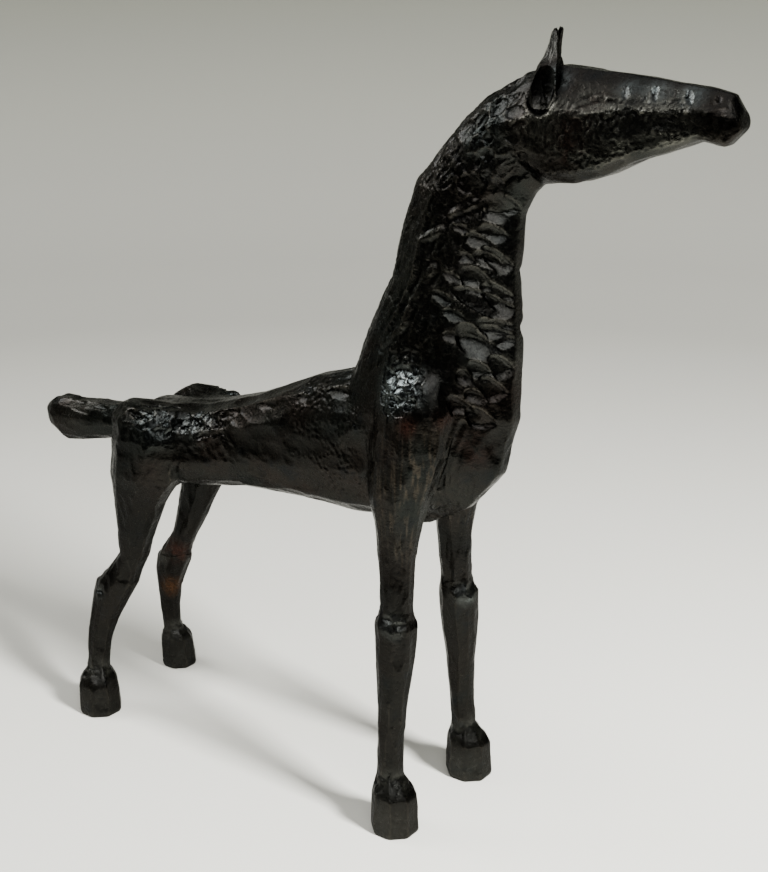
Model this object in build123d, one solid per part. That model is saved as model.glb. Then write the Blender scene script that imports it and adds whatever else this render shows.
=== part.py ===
"""Hollow-cast bronze statuette of a standing horse, assembled from separately cast sections.

The barrel, neck and head are hollow castings. The legs and the tail are solid castings. Each section
enters its neighbour with a round spigot, a Roman joint, which a bronze pin holds crosswise. Plugs close
the holes that the casting cores left. The horse looks along +X, its left side is +Y, and it stands on Z = 0
with the origin under the middle of its length.

All sizes are in millimetres.
"""

from build123d import *
import math
import os

# ---- Overall size -------------------------------------------------------------------------------
LENGTH = 447.5  # muzzle to tail end
HEIGHT = 411.0  # ground to ear tips
WIDTH = 99.0  # across the outsides of the hind hooves

# The section tables below are drawn on a pattern of this size, and are stretched to the overall size.
PATTERN_NOSE_X = 226.0
PATTERN_TAIL_X = -221.5
PATTERN_HEIGHT = 411.0
PATTERN_WIDTH = 99.0

# ---- Castings -----------------------------------------------------------------------------------
WALL = 4.5  # shell thickness of the hollow castings
SOCKET_WALL = 4.0  # metal around a spigot's socket
SOCKET_FLOOR = 3.0  # metal past the end of a blind socket
SPIGOT_CLEARANCE = 0.15  # on the radius
SPIGOT_END_GAP = 1.0  # between a spigot's end and its socket's floor

LEG_SPIGOT_RADIUS = 5.2
LEG_SPIGOT_LENGTH = 15.0
TAIL_SPIGOT_RADIUS = 5.0
TAIL_SPIGOT_LENGTH = 11.0
NECK_SPIGOT_RADIUS = 17.5
NECK_SPIGOT_LENGTH = 13.0
NECK_SPIGOT_WALL = 4.0
HEAD_SPIGOT_RADIUS = 9.0
HEAD_SPIGOT_LENGTH = 11.0
HEAD_SPIGOT_WALL = 3.0

# ---- Pins and plugs -----------------------------------------------------------------------------
COVER = 2.0  # weld metal chased flush over the end of every pin and plug
PIN_RADIUS = 1.5
PIN_CLEARANCE = 0.1
PLUG_CLEARANCE = 0.1
PLUG_STANDS_IN = 1.5  # how far a plug's inner end stands past the wall
BELLY_PLUG_RADIUS = 8.0
RUMP_PLUG_RADIUS = 5.0
SMALL_PLUG_RADIUS = 2.5
EAR_TANG_RADIUS = 2.0
EAR_TANG_DEPTH = 13.0  # below the waist of the ear

# ---- Heights and places of the joints, on the pattern -------------------------------------------
FORELEG_JOINT_Z = 150.0
HINDLEG_JOINT_Z = 142.0
TAIL_JOINT_X = -138.0

# ---- Section outlines: (share of the height from the lower point, share of the half width) ------
BARREL_OUTLINE = [(0, 0.45), (0.10, 0.78), (0.35, 1), (0.72, 0.97), (0.92, 0.72), (1, 0.30)]
NECK_OUTLINE = [(0, 0.14), (0.12, 0.50), (0.38, 0.90), (0.68, 1), (0.90, 0.68), (1, 0.26)]
HEAD_OUTLINE = [(0, 0.45), (0.10, 0.87), (0.30, 0.99), (0.62, 1), (0.90, 0.52), (1, 0.22)]
TAIL_OUTLINE = [(0, 0.40), (0.15, 0.78), (0.40, 1), (0.65, 1), (0.88, 0.75), (1, 0.40)]

# ---- Sections across the middle: (lower x, lower z, upper x, upper z, half width) ---------------
BARREL = [
    (TAIL_JOINT_X, 163, TAIL_JOINT_X, 192.5, 17),
    (-132, 156, -132, 195.5, 29),
    (-110, 152, -110, 200.5, 33),
    (-80, 156.3, -80, 203.2, 32.5),
    (-45, 162, -45, 213.5, 28.5),
    (0, 163.6, 0, 232, 28),
    (30, 164, 28, 240, 30),
    (60, 167, 50, 246, 31),
    (85, 176, 80, 236, 28),
]
CHEST = [  # from inside the barrel up to the neck joint
    (44, 168, 2, 216, 26),
    (71, 163, 16, 231, 31),
    (95, 176, 27.5, 241, 33),
    (112.5, 197, 34, 259, 32),
    (120, 226, 42.5, 277, 30),
    (121, 262, 50.5, 293, 27),
]
NECK = [  # from the neck joint up to the head joint
    CHEST[-1],
    (119, 298, 55.5, 317, 23.5),
    (121, 326, 63.5, 340, 20.5),
    (126.5, 337, 79, 357, 19),
    (129.5, 339.5, 90.5, 370, 18.5),
    (132, 341.5, 103, 380.3, 18),
]
HEAD = [  # from the head joint to the muzzle
    NECK[-1],
    (142, 343, 123, 391, 18),
    (152, 343.7, 141, 394.8, 18.5),
    (165, 347.3, 160, 392.8, 17.5),
    (181, 355.2, 178, 391, 15),
    (197, 360.5, 196, 388.5, 12.5),
    (208, 364.5, 210, 387, 11),
    (219.5, 363, 221, 384.5, 10),
    (PATTERN_NOSE_X, 370, 225, 378.5, 6.5),
]
TAIL = [  # from the root to the end
    (TAIL_JOINT_X, 169.5, TAIL_JOINT_X, 190.5, 11),
    (-150, 169.3, -150, 190, 11.5),
    (-170, 165, -172, 188.2, 12),
    (-190, 161, -194, 186, 12.5),
    (-204, 158.5, -212.5, 185.5, 12),
    (-212, 162, PATTERN_TAIL_X, 179.5, 9),
]

# ---- Sections through the legs: (z, x, y outwards, half depth, half width) ----------------------
HINDLEG = [  # from the sole up to the joint
    (0, -156, 37.5, 11.9, 11.4),
    (3, -156, 37.2, 12.8, 12.3),
    (19, -157, 36.7, 12.1, 11.5),
    (23, -157, 36.2, 10.3, 10),
    (30, -158, 35, 7.2, 6.9),
    (45, -157.3, 32.5, 7.8, 7.2),
    (60, -154.7, 29.7, 9.6, 8.2),
    (74, -150.4, 26.5, 12.4, 9.7),
    (84, -146, 25, 14, 10),
    (94, -139.5, 23, 10.5, 9.5),
    (105, -131.5, 22, 9.2, 9),
    (122, -126.4, 24, 12.2, 10.3),
    (HINDLEG_JOINT_Z, -120.6, 25.2, 16.7, 12.8),
]
HAUNCH = [  # from the joint up
    HINDLEG[-1],
    (160, -112, 26.5, 24.3, 15.5),
    (183, -107.5, 26.5, 25.5, 15.5),
    (194, -108.5, 25.5, 24.5, 14.5),
    (202, -107, 23.5, 20.5, 11.5),
]
FORELEG = [  # from the sole up to the joint
    (0, 73.5, 36, 11.9, 11.4),
    (3, 73.5, 36, 12.7, 12.2),
    (21, 73, 35.7, 11.9, 11.5),
    (25, 72, 35.5, 10.4, 10.2),
    (32, 69.8, 35, 6.8, 7),
    (50, 69.3, 34, 6.8, 7),
    (70, 69.2, 32.3, 7.8, 7.8),
    (92, 69.2, 30.5, 9.8, 9.3),
    (106, 69.2, 29.5, 10.8, 10.2),
    (115, 69.2, 29, 11, 10.5),
    (123, 68.3, 28, 8.3, 8.3),
    (FORELEG_JOINT_Z, 67.4, 26.5, 9.8, 9.4),
]
SHOULDER = [  # from the joint up
    FORELEG[-1],
    (165, 67.8, 26, 12, 10.8),
    (185, 69, 26, 16.6, 13.2),
    (210, 74, 26, 21.5, 14),
    (232, 77, 26, 21.5, 14),
    (248, 76, 23, 17, 12),
    (256, 71, 18, 10, 8),
]
EAR_RIGHT = [  # from inside the skull up to the tip
    (377, 138.5, 12.5, 8.5, 4.5),
    (386, 137, 12.5, 7, 5),
    (392, 136.5, 10.2, 5.6, 4.3),
    (398, 136.8, 7, 3.8, 3),
    (404, 136.5, 5, 2.4, 2.2),
    (PATTERN_HEIGHT, 136.3, 3.2, 1.1, 1.2),
]
EAR_LEFT = [  # it starts further back and leans forward
    (377, 130, 12.5, 8, 4.5),
    (386, 128, 12.5, 6.8, 5),
    (392, 127.5, 10.2, 5.4, 4.3),
    (398, 129.5, 7, 3.6, 3),
    (404, 132, 5, 2.3, 2.2),
    (PATTERN_HEIGHT, 135.6, 3.2, 1.1, 1.2),
]
HIND_RIGHT_STEP = 4.0  # the right hind hoof stands this much further forward than the table's
HIND_LEFT_STEP = -4.5
LEFT_SLIMNESS = 0.88  # the left hind leg and haunch are this much slimmer than the right

# ---- From the pattern to the finished size ------------------------------------------------------
PATTERN_MIDDLE_X = (PATTERN_NOSE_X + PATTERN_TAIL_X) / 2
LEG_SIDES = 8
EIGHTH = 360 / LEG_SIDES
SLICE = 0.05  # overlap that makes two touching solids fuse

RIGHT = -1
LEFT = 1


def along(x):
    return (x - PATTERN_MIDDLE_X) * LENGTH / (PATTERN_NOSE_X - PATTERN_TAIL_X)


def across(y):
    return y * WIDTH / PATTERN_WIDTH


def up(z):
    return z * HEIGHT / PATTERN_HEIGHT


# ---- Sections to solids -------------------------------------------------------------------------
def middle_ring(section, outline):
    """The points of a section that crosses the middle plane."""
    low_x, low_z, top_x, top_z, half_width = section
    low = Vector(along(low_x), 0, up(low_z))
    top = Vector(along(top_x), 0, up(top_z))
    side = Vector(0, across(half_width), 0)
    left = [low + (top - low) * share + side * width for share, width in outline]
    right = [Vector(p.X, -p.Y, p.Z) for p in reversed(left)]
    return left + right


def leg_ring(section, side, step=0.0, slimness=1.0):
    """The points of a level section through a leg.

    step moves the foot forward, and dies out up to the joint. A slim leg loses its width on the inside
    and at the back.
    """
    z, x, y, half_depth, half_width = section
    x = x + step * max(0.0, 1 - z / HINDLEG_JOINT_Z) + half_depth * (1 - slimness)
    y = y + half_width * (1 - slimness)
    half_depth = half_depth * slimness
    half_width = half_width * slimness
    corner = 1 / math.cos(math.radians(EIGHTH / 2))
    ring = []
    for i in range(LEG_SIDES):
        angle = math.radians(EIGHTH * (i + 0.5))
        ring.append(
            Vector(
                along(x + half_depth * corner * math.cos(angle)),
                side * across(y + half_width * corner * math.sin(angle)),
                up(z),
            )
        )
    return ring


def middle_of(ring):
    return sum(ring, Vector(0, 0, 0)) / len(ring)


def shrunk(rings, wall, first_end=True, last_end=True):
    """The rings moved inwards by a wall, and the ends too where they are free."""
    inner = []
    for ring in rings:
        centre = middle_of(ring)
        inner.append([centre + (p - centre) * (1 - wall / (p - centre).length) for p in ring])
    for is_free, end, beside in ((first_end, 0, 1), (last_end, -1, -2)):
        if is_free:
            inwards = (middle_of(rings[beside]) - middle_of(rings[end])).normalized()
            inner[end] = [p + inwards * wall for p in inner[end]]
    return inner


def skin(rings):
    """A closed solid of flat facets through the rings."""
    faces = [Face(Wire.make_polygon(rings[0])), Face(Wire.make_polygon(rings[-1]))]
    for lower, upper in zip(rings, rings[1:]):
        for i in range(len(lower)):
            j = (i + 1) % len(lower)
            faces.append(Face(Wire.make_polygon([lower[i], lower[j], upper[j]])))
            faces.append(Face(Wire.make_polygon([lower[i], upper[j], upper[i]])))
    solid = Solid(Shell(faces))
    return solid if solid.volume > 0 else Solid(Shell([-face for face in faces]))


def rod(start, direction, radius, length):
    """A cylinder from a point along a direction."""
    return Plane(origin=start, z_dir=direction) * Cylinder(
        radius, length, align=(Align.CENTER, Align.CENTER, Align.MIN)
    )


def fused(first, *others):
    result = first
    for other in others:
        result = result + other
    return result


def at_height(sections, z):
    """A leg's section at a height between two of its sections, on the pattern."""
    ordered = sorted(sections)
    for lower, upper in zip(ordered, ordered[1:]):
        if lower[0] <= z <= upper[0]:
            share = (z - lower[0]) / (upper[0] - lower[0])
            return [a + (b - a) * share for a, b in zip(lower, upper)]
    raise ValueError(f"no section at height {z}")


def barrel_at(x):
    """The barrel's section at a distance along it, on the pattern."""
    for rear, front in zip(BARREL, BARREL[1:]):
        if rear[0] <= x <= front[0]:
            share = (x - rear[0]) / (front[0] - rear[0])
            return [a + (b - a) * share for a, b in zip(rear, front)]
    raise ValueError(f"no barrel section at {x}")


# ---- The joints ---------------------------------------------------------------------------------
class Joint:
    """A round spigot on one casting that enters a socket in the next."""

    def __init__(self, face_centre, inwards, radius, length, bore=0.0):
        self.centre = face_centre
        self.inwards = inwards.normalized()
        self.radius = radius
        self.length = length
        self.bore = bore  # radius of the hole through a hollow spigot

    def spigot(self, root):
        """The spigot, which starts inside its own casting by the root's length."""
        start = self.centre - self.inwards * root
        body = rod(start, self.inwards, self.radius - SPIGOT_CLEARANCE, root + self.length)
        if self.bore:
            body = body - rod(start - self.inwards, self.inwards, self.bore, root + self.length + 2)
        return body

    def socket_metal(self):
        """The boss that holds the socket, from the joint's face inwards."""
        floor = 0.0 if self.bore else SPIGOT_END_GAP + SOCKET_FLOOR
        return rod(self.centre, self.inwards, self.radius + SOCKET_WALL, self.length + floor)

    def socket_hole(self):
        start = self.centre - self.inwards
        return rod(start, self.inwards, self.radius, self.length + SPIGOT_END_GAP + 1)

    def pin_centre(self):
        """Where the pin's axis crosses the spigot's, halfway down the spigot."""
        return self.centre + self.inwards * (self.length / 2)


def cross_pin(start, direction, length):
    """A pin and the hole that it is driven into."""
    pin = rod(start, direction, PIN_RADIUS, length)
    hole = rod(start, direction, PIN_RADIUS + PIN_CLEARANCE, length)
    return pin, hole


def leg_joint(ring):
    return Joint(middle_of(ring), Vector(0, 0, 1), LEG_SPIGOT_RADIUS, LEG_SPIGOT_LENGTH)


def haunch_rings(side):
    slimness = LEFT_SLIMNESS if side == LEFT else 1.0
    return [leg_ring(s, side, slimness=slimness) for s in HAUNCH]


def hollow_joint(ring, inwards, radius, length, wall):
    return Joint(middle_of(ring), inwards, radius, length, bore=radius - wall)


def ring_normal(ring):
    """The direction out of a middle section, towards the head."""
    low, top = middle_of([ring[0], ring[-1]]), middle_of([ring[5], ring[6]])
    return (top - low).cross(Vector(0, 1, 0)).normalized() * -1


def leg_pin(joint, upper_sections, side, slimness):
    """A pin across a leg's spigot, with its ends under the skin of the stub."""
    centre = joint.pin_centre()
    pattern_z = centre.Z * PATTERN_HEIGHT / HEIGHT
    z, x, y, half_depth, half_width = at_height(upper_sections, pattern_z)
    outer = across(y + half_width) - COVER
    inner = across(y + half_width - 2 * half_width * slimness) + COVER
    start = Vector(centre.X, side * inner, centre.Z)
    return cross_pin(start, Vector(0, side, 0), outer - inner)


def side_pins(joint, half_width):
    """Two pins through the walls of a hollow joint, one from each side, into the hollow spigot."""
    centre = joint.pin_centre()
    pins, holes = [], []
    for side in (RIGHT, LEFT):
        start = Vector(centre.X, side * joint.bore, centre.Z)
        pin, hole = cross_pin(start, Vector(0, side, 0), half_width - COVER - joint.bore)
        pins.append(pin)
        holes.append(hole)
    return pins, holes


def wall_plug(surface, inwards, radius):
    """A plug in a wall and its seat, from just under the surface to just inside the wall."""
    start = surface + inwards * COVER
    plug = rod(start, inwards, radius - PLUG_CLEARANCE, WALL - COVER + PLUG_STANDS_IN)
    seat = rod(start, inwards, radius, WALL - COVER + PLUG_STANDS_IN)
    return plug, seat


def side_plugs(places):
    """Small plugs in both side walls, at (x, z, half width) of the finished size."""
    plugs, seats = [], []
    for x, z, half_width in places:
        for side in (RIGHT, LEFT):
            surface = Vector(x, side * half_width, z)
            plug, seat = wall_plug(surface, Vector(0, -side, 0), SMALL_PLUG_RADIUS)
            plugs.append(plug)
            seats.append(seat)
    return plugs, seats


def middle_side(section, share, width_share):
    """A place on the side wall of a middle section, as (x, z, half width) of the finished size."""
    low_x, low_z, top_x, top_z, half_width = section
    x = along(low_x + (top_x - low_x) * share)
    z = up(low_z + (top_z - low_z) * share)
    return x, z, across(half_width * width_share)


# ---- Rings of every form ------------------------------------------------------------------------
barrel_rings = [middle_ring(s, BARREL_OUTLINE) for s in BARREL]
chest_rings = [middle_ring(s, NECK_OUTLINE) for s in CHEST]
neck_rings = [middle_ring(s, NECK_OUTLINE) for s in NECK]
head_rings = [neck_rings[-1]] + [middle_ring(s, HEAD_OUTLINE) for s in HEAD[1:]]
tail_rings = [middle_ring(s, TAIL_OUTLINE) for s in TAIL]

neck_axis = ring_normal(neck_rings[0])
head_axis = ring_normal(head_rings[0])
neck_joint = hollow_joint(
    neck_rings[0], neck_axis * -1, NECK_SPIGOT_RADIUS, NECK_SPIGOT_LENGTH, NECK_SPIGOT_WALL
)
head_joint = hollow_joint(
    head_rings[0], head_axis * -1, HEAD_SPIGOT_RADIUS, HEAD_SPIGOT_LENGTH, HEAD_SPIGOT_WALL
)
tail_joint = Joint(
    middle_of(tail_rings[0]), Vector(1, 0, 0), TAIL_SPIGOT_RADIUS, TAIL_SPIGOT_LENGTH
)
foreleg_joints = {side: leg_joint(leg_ring(FORELEG[-1], side)) for side in (RIGHT, LEFT)}
hindleg_joints = {side: leg_joint(haunch_rings(side)[0]) for side in (RIGHT, LEFT)}


# ---- The castings -------------------------------------------------------------------------------
def torso_shell():
    """Barrel, chest, shoulders and haunches, hollow down to the leg sockets."""
    outer = fused(
        skin(barrel_rings),
        skin(chest_rings),
        *[skin([leg_ring(s, side) for s in SHOULDER]) for side in (RIGHT, LEFT)],
        *[skin(haunch_rings(side)) for side in (RIGHT, LEFT)],
    )
    hollow = fused(
        skin(shrunk(barrel_rings, WALL)),
        skin(shrunk(chest_rings, WALL, first_end=False)),
        *[
            skin(shrunk([leg_ring(s, side) for s in SHOULDER[2:]], WALL, first_end=False))
            for side in (RIGHT, LEFT)
        ],
        *[skin(shrunk(haunch_rings(side)[1:], WALL, first_end=False)) for side in (RIGHT, LEFT)],
    )
    joints = [neck_joint, tail_joint, *foreleg_joints.values(), *hindleg_joints.values()]
    for joint in joints:
        hollow = hollow - joint.socket_metal()
    shell = outer - hollow
    for joint in joints:
        shell = shell - joint.socket_hole()
    return shell


def neck_shell():
    shell = skin(neck_rings)
    hollow = skin(shrunk(neck_rings, WALL)) - head_joint.socket_metal()
    shell = shell - hollow
    shell = shell - rod(neck_joint.centre + neck_axis * -1, neck_axis, neck_joint.bore, WALL + 2)
    return shell - head_joint.socket_hole() + neck_joint.spigot(root=WALL - SLICE)


def head_shell():
    shell = skin(head_rings) - skin(shrunk(head_rings[:-1], WALL, last_end=False))
    shell = shell - rod(head_joint.centre + head_axis * -1, head_axis, head_joint.bore, WALL + 2)
    return shell + head_joint.spigot(root=WALL - SLICE)


def leg(sections, joint, side, step, slimness):
    return skin([leg_ring(s, side, step, slimness) for s in sections]) + joint.spigot(root=SLICE)


def ear(sections, side, skull):
    """A solid ear whose foot follows the skull, with a tang that goes through the skull's wall."""
    z, x, y = sections[2][:3]
    blade = skin([leg_ring(s, side) for s in sections]) - skull
    start = Vector(along(x), side * across(y), up(z))
    tang = rod(start, Vector(0, 0, -1), EAR_TANG_RADIUS, EAR_TANG_DEPTH)
    hole = rod(start, Vector(0, 0, -1), EAR_TANG_RADIUS + PIN_CLEARANCE, EAR_TANG_DEPTH + 1)
    return blade + tang, hole


def largest(shape):
    return max(shape.solids(), key=lambda solid: solid.volume)


def build():
    """Every piece of the statuette by name, each a list of solids."""
    torso = torso_shell()
    neck = neck_shell()
    head = head_shell()
    pieces = {}

    for kind, name, sections, upper, joint, side, step, slimness in (
        ("foreleg", "right", FORELEG, SHOULDER, foreleg_joints[RIGHT], RIGHT, 0.0, 1.0),
        ("foreleg", "left", FORELEG, SHOULDER, foreleg_joints[LEFT], LEFT, 0.0, 1.0),
        ("hindleg", "right", HINDLEG, HAUNCH, hindleg_joints[RIGHT], RIGHT, HIND_RIGHT_STEP, 1.0),
        ("hindleg", "left", HINDLEG, HAUNCH, hindleg_joints[LEFT], LEFT, HIND_LEFT_STEP, LEFT_SLIMNESS),
    ):
        pin, hole = leg_pin(joint, upper, side, slimness)
        pieces[f"{kind}_{name}"] = [leg(sections, joint, side, step, slimness) - hole]
        pieces[f"{kind}_{name}_pin"] = [pin]
        torso = torso - hole

    tail_pin_x = tail_joint.pin_centre().X
    barrel_top = up(barrel_at(TAIL_JOINT_X + TAIL_SPIGOT_LENGTH / 2)[3])
    pin_top = Vector(tail_pin_x, 0, barrel_top - COVER)
    tail_pin_length = barrel_top - COVER - tail_joint.centre.Z + TAIL_SPIGOT_RADIUS + SOCKET_WALL / 2
    tail_pin, tail_pin_hole = cross_pin(pin_top, Vector(0, 0, -1), tail_pin_length)
    pieces["tail"] = [skin(tail_rings) + tail_joint.spigot(root=SLICE) - tail_pin_hole]
    pieces["tail_pin"] = [tail_pin]
    torso = torso - tail_pin_hole

    neck_pins, neck_holes = side_pins(neck_joint, across(CHEST[-1][4]))
    head_pins, head_holes = side_pins(head_joint, across(NECK[-1][4]))
    pieces["neck_pins"] = neck_pins
    pieces["head_pins"] = head_pins
    for hole in neck_holes:
        torso = torso - hole
        neck = neck - hole
    for hole in head_holes:
        neck = neck - hole
        head = head - hole

    skull = skin(head_rings)
    for name, side, sections in (("right", RIGHT, EAR_RIGHT), ("left", LEFT, EAR_LEFT)):
        shape, hole = ear(sections, side, skull)
        pieces[f"ear_{name}"] = [largest(shape)]
        head = head - hole

    belly = barrel_at(-20)
    belly_plug, belly_seat = wall_plug(
        Vector(along(-20), 0, up(belly[1])), Vector(0, 0, 1), BELLY_PLUG_RADIUS
    )
    rump = barrel_at(-92)
    rump_plug, rump_seat = wall_plug(
        Vector(along(-92), 0, up(rump[3])), Vector(0, 0, -1), RUMP_PLUG_RADIUS
    )
    barrel_places = [middle_side(barrel_at(x), 0.55, 0.98) for x in (-45, 8)]
    torso_plugs, torso_seats = side_plugs(barrel_places)
    neck_plugs, neck_seats = side_plugs([middle_side(NECK[1], 0.6, 0.97), middle_side(NECK[2], 0.6, 0.97)])
    head_plugs, head_seats = side_plugs([middle_side(HEAD[3], 0.45, 0.99)])
    for seat in (belly_seat, rump_seat, *torso_seats):
        torso = torso - seat
    for seat in neck_seats:
        neck = neck - seat
    for seat in head_seats:
        head = head - seat
    pieces["belly_core_plug"] = [belly_plug]
    pieces["rump_core_plug"] = [rump_plug]
    pieces["torso_core_plugs"] = torso_plugs
    pieces["neck_core_plugs"] = neck_plugs
    pieces["head_core_plugs"] = head_plugs

    pieces["torso"] = [torso]
    pieces["neck"] = [neck]
    pieces["head"] = [head]
    return pieces


def main():
    os.makedirs("parts", exist_ok=True)
    for name, shapes in build().items():
        solids = [solid for shape in shapes for solid in shape.solids()]
        export_step(Compound(solids), f"parts/{name}.step")


main()
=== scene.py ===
"""Looks of a carved and cast bronze horse: its tooled skin, its waxed patina and a plain studio."""

import itertools
import math
import random

import bpy
import numpy as np
from bpy.props import FloatProperty, FloatVectorProperty, PointerProperty
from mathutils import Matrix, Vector, noise
from mathutils.kdtree import KDTree


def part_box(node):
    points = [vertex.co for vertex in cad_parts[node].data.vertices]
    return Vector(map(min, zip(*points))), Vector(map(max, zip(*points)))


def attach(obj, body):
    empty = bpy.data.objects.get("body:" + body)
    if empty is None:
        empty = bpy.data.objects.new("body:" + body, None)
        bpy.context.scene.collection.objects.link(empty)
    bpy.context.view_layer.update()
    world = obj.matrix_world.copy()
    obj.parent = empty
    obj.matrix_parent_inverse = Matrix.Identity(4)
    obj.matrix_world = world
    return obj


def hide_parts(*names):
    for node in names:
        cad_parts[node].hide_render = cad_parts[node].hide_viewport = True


bl_info = {
    "name": "Carved Bronze Horse",
    "version": (1, 0, 0),
    "blender": (4, 5, 0),
    "location": "3D Viewport > Sidebar > Bronze Horse",
    "description": "Carves, patinates and lights a cast bronze horse around its construction model",
    "category": "Object",
}

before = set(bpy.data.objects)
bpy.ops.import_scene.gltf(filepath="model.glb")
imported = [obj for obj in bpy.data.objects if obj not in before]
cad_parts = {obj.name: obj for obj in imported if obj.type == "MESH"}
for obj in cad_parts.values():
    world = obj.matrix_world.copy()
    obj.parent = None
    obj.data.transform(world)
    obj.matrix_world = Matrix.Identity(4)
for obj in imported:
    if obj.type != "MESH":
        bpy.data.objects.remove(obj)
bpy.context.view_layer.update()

MM = 0.001
LEGS = ("foreleg_right", "foreleg_left", "hindleg_right", "hindleg_left")
CASTINGS = ("torso", "neck", "head", "tail", *LEGS)
EARS = ("ear_right", "ear_left")
SKIN = "carved_skin"  # the object that all the castings but the ears are cut from
RIGHT = -1  # the sign of y on each side of the horse
LEFT = 1


def linear(hex_colour):
    """A linear colour with alpha from an sRGB hex value."""
    values = [int(hex_colour[i : i + 2], 16) / 255 for i in (1, 3, 5)]
    return tuple(v / 12.92 if v <= 0.04045 else ((v + 0.055) / 1.055) ** 2.4 for v in values) + (1.0,)


# ---- Settings -----------------------------------------------------------------------------------
class CastingSettings(bpy.types.PropertyGroup):
    """Sizes of the tooled surface."""

    grain: FloatProperty(
        name="Grain",
        description="Spacing of the points that the carved surface is built on",
        default=0.7 * MM,
        min=0.3 * MM,
        max=3 * MM,
        unit="LENGTH",
        precision=5,
    )
    kept_share: FloatProperty(
        name="Kept Share",
        description="Share of the faces that is kept where the surface is flat",
        default=0.45,
        min=0.1,
        max=1,
        subtype="FACTOR",
    )
    wander: FloatProperty(
        name="Wander",
        description="How far the hand-cut surface strays from the plain facets",
        default=0.45 * MM,
        min=0,
        max=2 * MM,
        unit="LENGTH",
        precision=5,
    )
    tool_depth: FloatProperty(
        name="Tool Depth",
        description="Depth of every tool mark, as a share of its usual depth",
        default=1.0,
        min=0,
        max=2,
        subtype="FACTOR",
    )
    hard_edge: FloatProperty(
        name="Hard Edge",
        description="Edges that turn by more than this angle stay sharp",
        default=math.radians(34),
        min=0,
        max=math.pi,
        subtype="ANGLE",
    )


class PatinaSettings(bpy.types.PropertyGroup):
    """Colours of the bronze."""

    cool: FloatVectorProperty(
        name="Cool Patina",
        description="Colour of the greenish black half of the patina",
        default=linear("#191b19")[:3],
        min=0,
        max=1,
        subtype="COLOR",
    )
    warm: FloatVectorProperty(
        name="Warm Patina",
        description="Colour of the brown-black half of the patina",
        default=linear("#211d1a")[:3],
        min=0,
        max=1,
        subtype="COLOR",
    )
    legs: FloatVectorProperty(
        name="Legs",
        description="Colour of the patina on the legs",
        default=linear("#161513")[:3],
        min=0,
        max=1,
        subtype="COLOR",
    )
    red: FloatVectorProperty(
        name="Red Brown",
        description="Colour where the patina is thin and red-brown",
        default=linear("#40241c")[:3],
        min=0,
        max=1,
        subtype="COLOR",
    )
    rusty: FloatVectorProperty(
        name="Orange Brown",
        description="Colour of the orange-brown patch on a hind leg",
        default=linear("#6a4528")[:3],
        min=0,
        max=1,
        subtype="COLOR",
    )
    # the lacquer's light colour also stands for painted highlights where its patches lie
    cracked: FloatVectorProperty(
        name="Cracked Lacquer",
        description="Colour of the thick, cracked and shiny patina",
        default=linear("#596060")[:3],
        min=0,
        max=1,
        subtype="COLOR",
    )
    # worn bronze, also standing for painted highlights on the neck cuts, knees and hooves
    worn: FloatVectorProperty(
        name="Worn Bronze",
        description="Colour of the edges that hands have worn",
        default=linear("#4a4b47")[:3],
        min=0,
        max=1,
        subtype="COLOR",
    )


class StageSettings(bpy.types.PropertyGroup):
    """Floor and light."""

    light_power: FloatProperty(
        name="Light Power",
        description="Power that each lamp takes its own share of",
        default=9.0,
        min=0,
        max=200,
        unit="POWER",
    )
    floor_radius: FloatProperty(
        name="Floor Radius",
        description="Radius of the flat disc that the horse stands on",
        default=0.42,
        min=0.3,
        max=1,
        unit="LENGTH",
    )
    floor: FloatVectorProperty(
        name="Floor",
        description="Colour of the paper that the horse stands on",
        default=linear("#b6b5ad")[:3],
        min=0,
        max=1,
        subtype="COLOR",
    )
    # painted shade: the paper high up is darker, as less light reaches it
    backdrop: FloatVectorProperty(
        name="Backdrop",
        description="Colour of the paper high up behind the horse",
        default=linear("#84857b")[:3],
        min=0,
        max=1,
        subtype="COLOR",
    )


def settings(name):
    """The scene's group of settings: casting, patina or stage."""
    return getattr(bpy.context.scene, "bronze_horse_" + name)


# ---- Small helpers ------------------------------------------------------------------------------
def deselect():
    """Leaves nothing selected, in object mode."""
    if bpy.context.mode != "OBJECT":
        bpy.ops.object.mode_set(mode="OBJECT")
    bpy.ops.object.select_all(action="DESELECT")


def activate(piece):
    """Makes a piece the only one selected, and the active one."""
    deselect()
    piece.select_set(True)
    bpy.context.view_layer.objects.active = piece


def copy_of(source, name):
    """A new object with its own copy of a mesh, at the origin."""
    piece = bpy.data.objects.new(name, source.data.copy())
    bpy.context.scene.collection.objects.link(piece)
    return piece


def points_of(mesh):
    """The places of a mesh's points, in metres, one row each."""
    values = np.empty(len(mesh.vertices) * 3, np.float32)
    mesh.vertices.foreach_get("co", values)
    return values.reshape(-1, 3).astype(np.float64)


def set_points(mesh, points):
    mesh.vertices.foreach_set("co", points.astype(np.float32).ravel())
    mesh.update()


def normals_of(mesh):
    """The ways that a mesh's points face, one row each."""
    values = np.empty(len(mesh.vertices) * 3, np.float32)
    mesh.vertex_normals.foreach_get("vector", values)
    return values.reshape(-1, 3).astype(np.float64)


def soft_step(value, low, high):
    """0 up to low, 1 from high on, and a smooth slope between them."""
    t = np.clip((value - low) / (high - low), 0, 1)
    return t * t * (3 - 2 * t)


# ---- Tool marks ---------------------------------------------------------------------------------
AROUND = list(itertools.product((-1, 0, 1), repeat=3))  # a cell of the grid and those around it


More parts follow.
